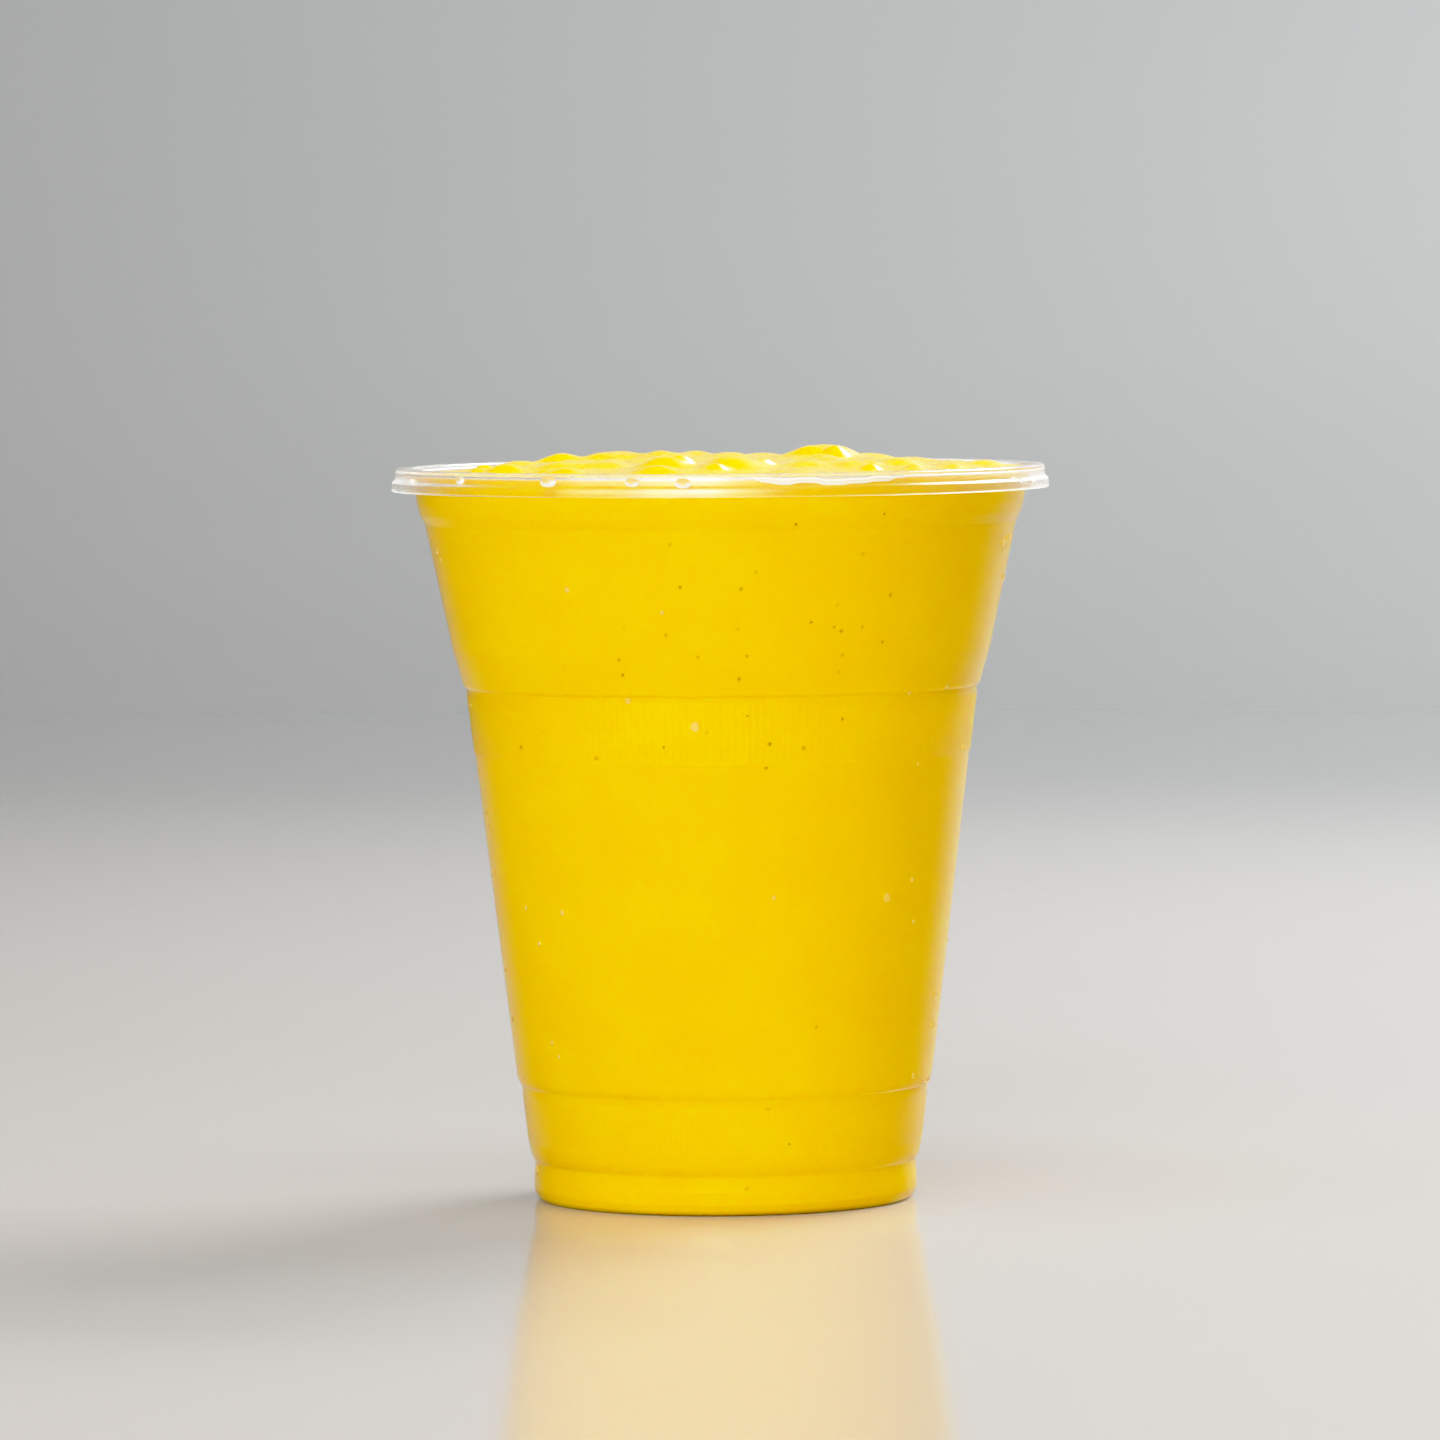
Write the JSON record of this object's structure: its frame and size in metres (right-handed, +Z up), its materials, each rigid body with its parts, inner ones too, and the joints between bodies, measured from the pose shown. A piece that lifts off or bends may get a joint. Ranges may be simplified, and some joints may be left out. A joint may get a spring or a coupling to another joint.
{
  "type": "fresh orange juice in a clear cup",
  "caption": "Clear ribbed take-away cup with a rolled rim, filled over its brim with thick golden-yellow juice whose glossy, lumpy top stands above the rim.",
  "frame": {"origin": "centre of the ring that the cup stands on, at the height of the surface below it", "axes": "+Z up along the cup's axis, -Y towards the viewer of the picture, +X to that viewer's right"},
  "size_m": [0.095, 0.095, 0.1088],
  "materials": {
    "clear_plastic": "clear, thin and glossy, with a few drops of water",
    "yellow_juice": "wet, opaque and smooth, with a few dark specks"
  },
  "bodies": {
    "root": {"cup": "clear_plastic", "juice": "yellow_juice"}
  },
  "joints": []
}
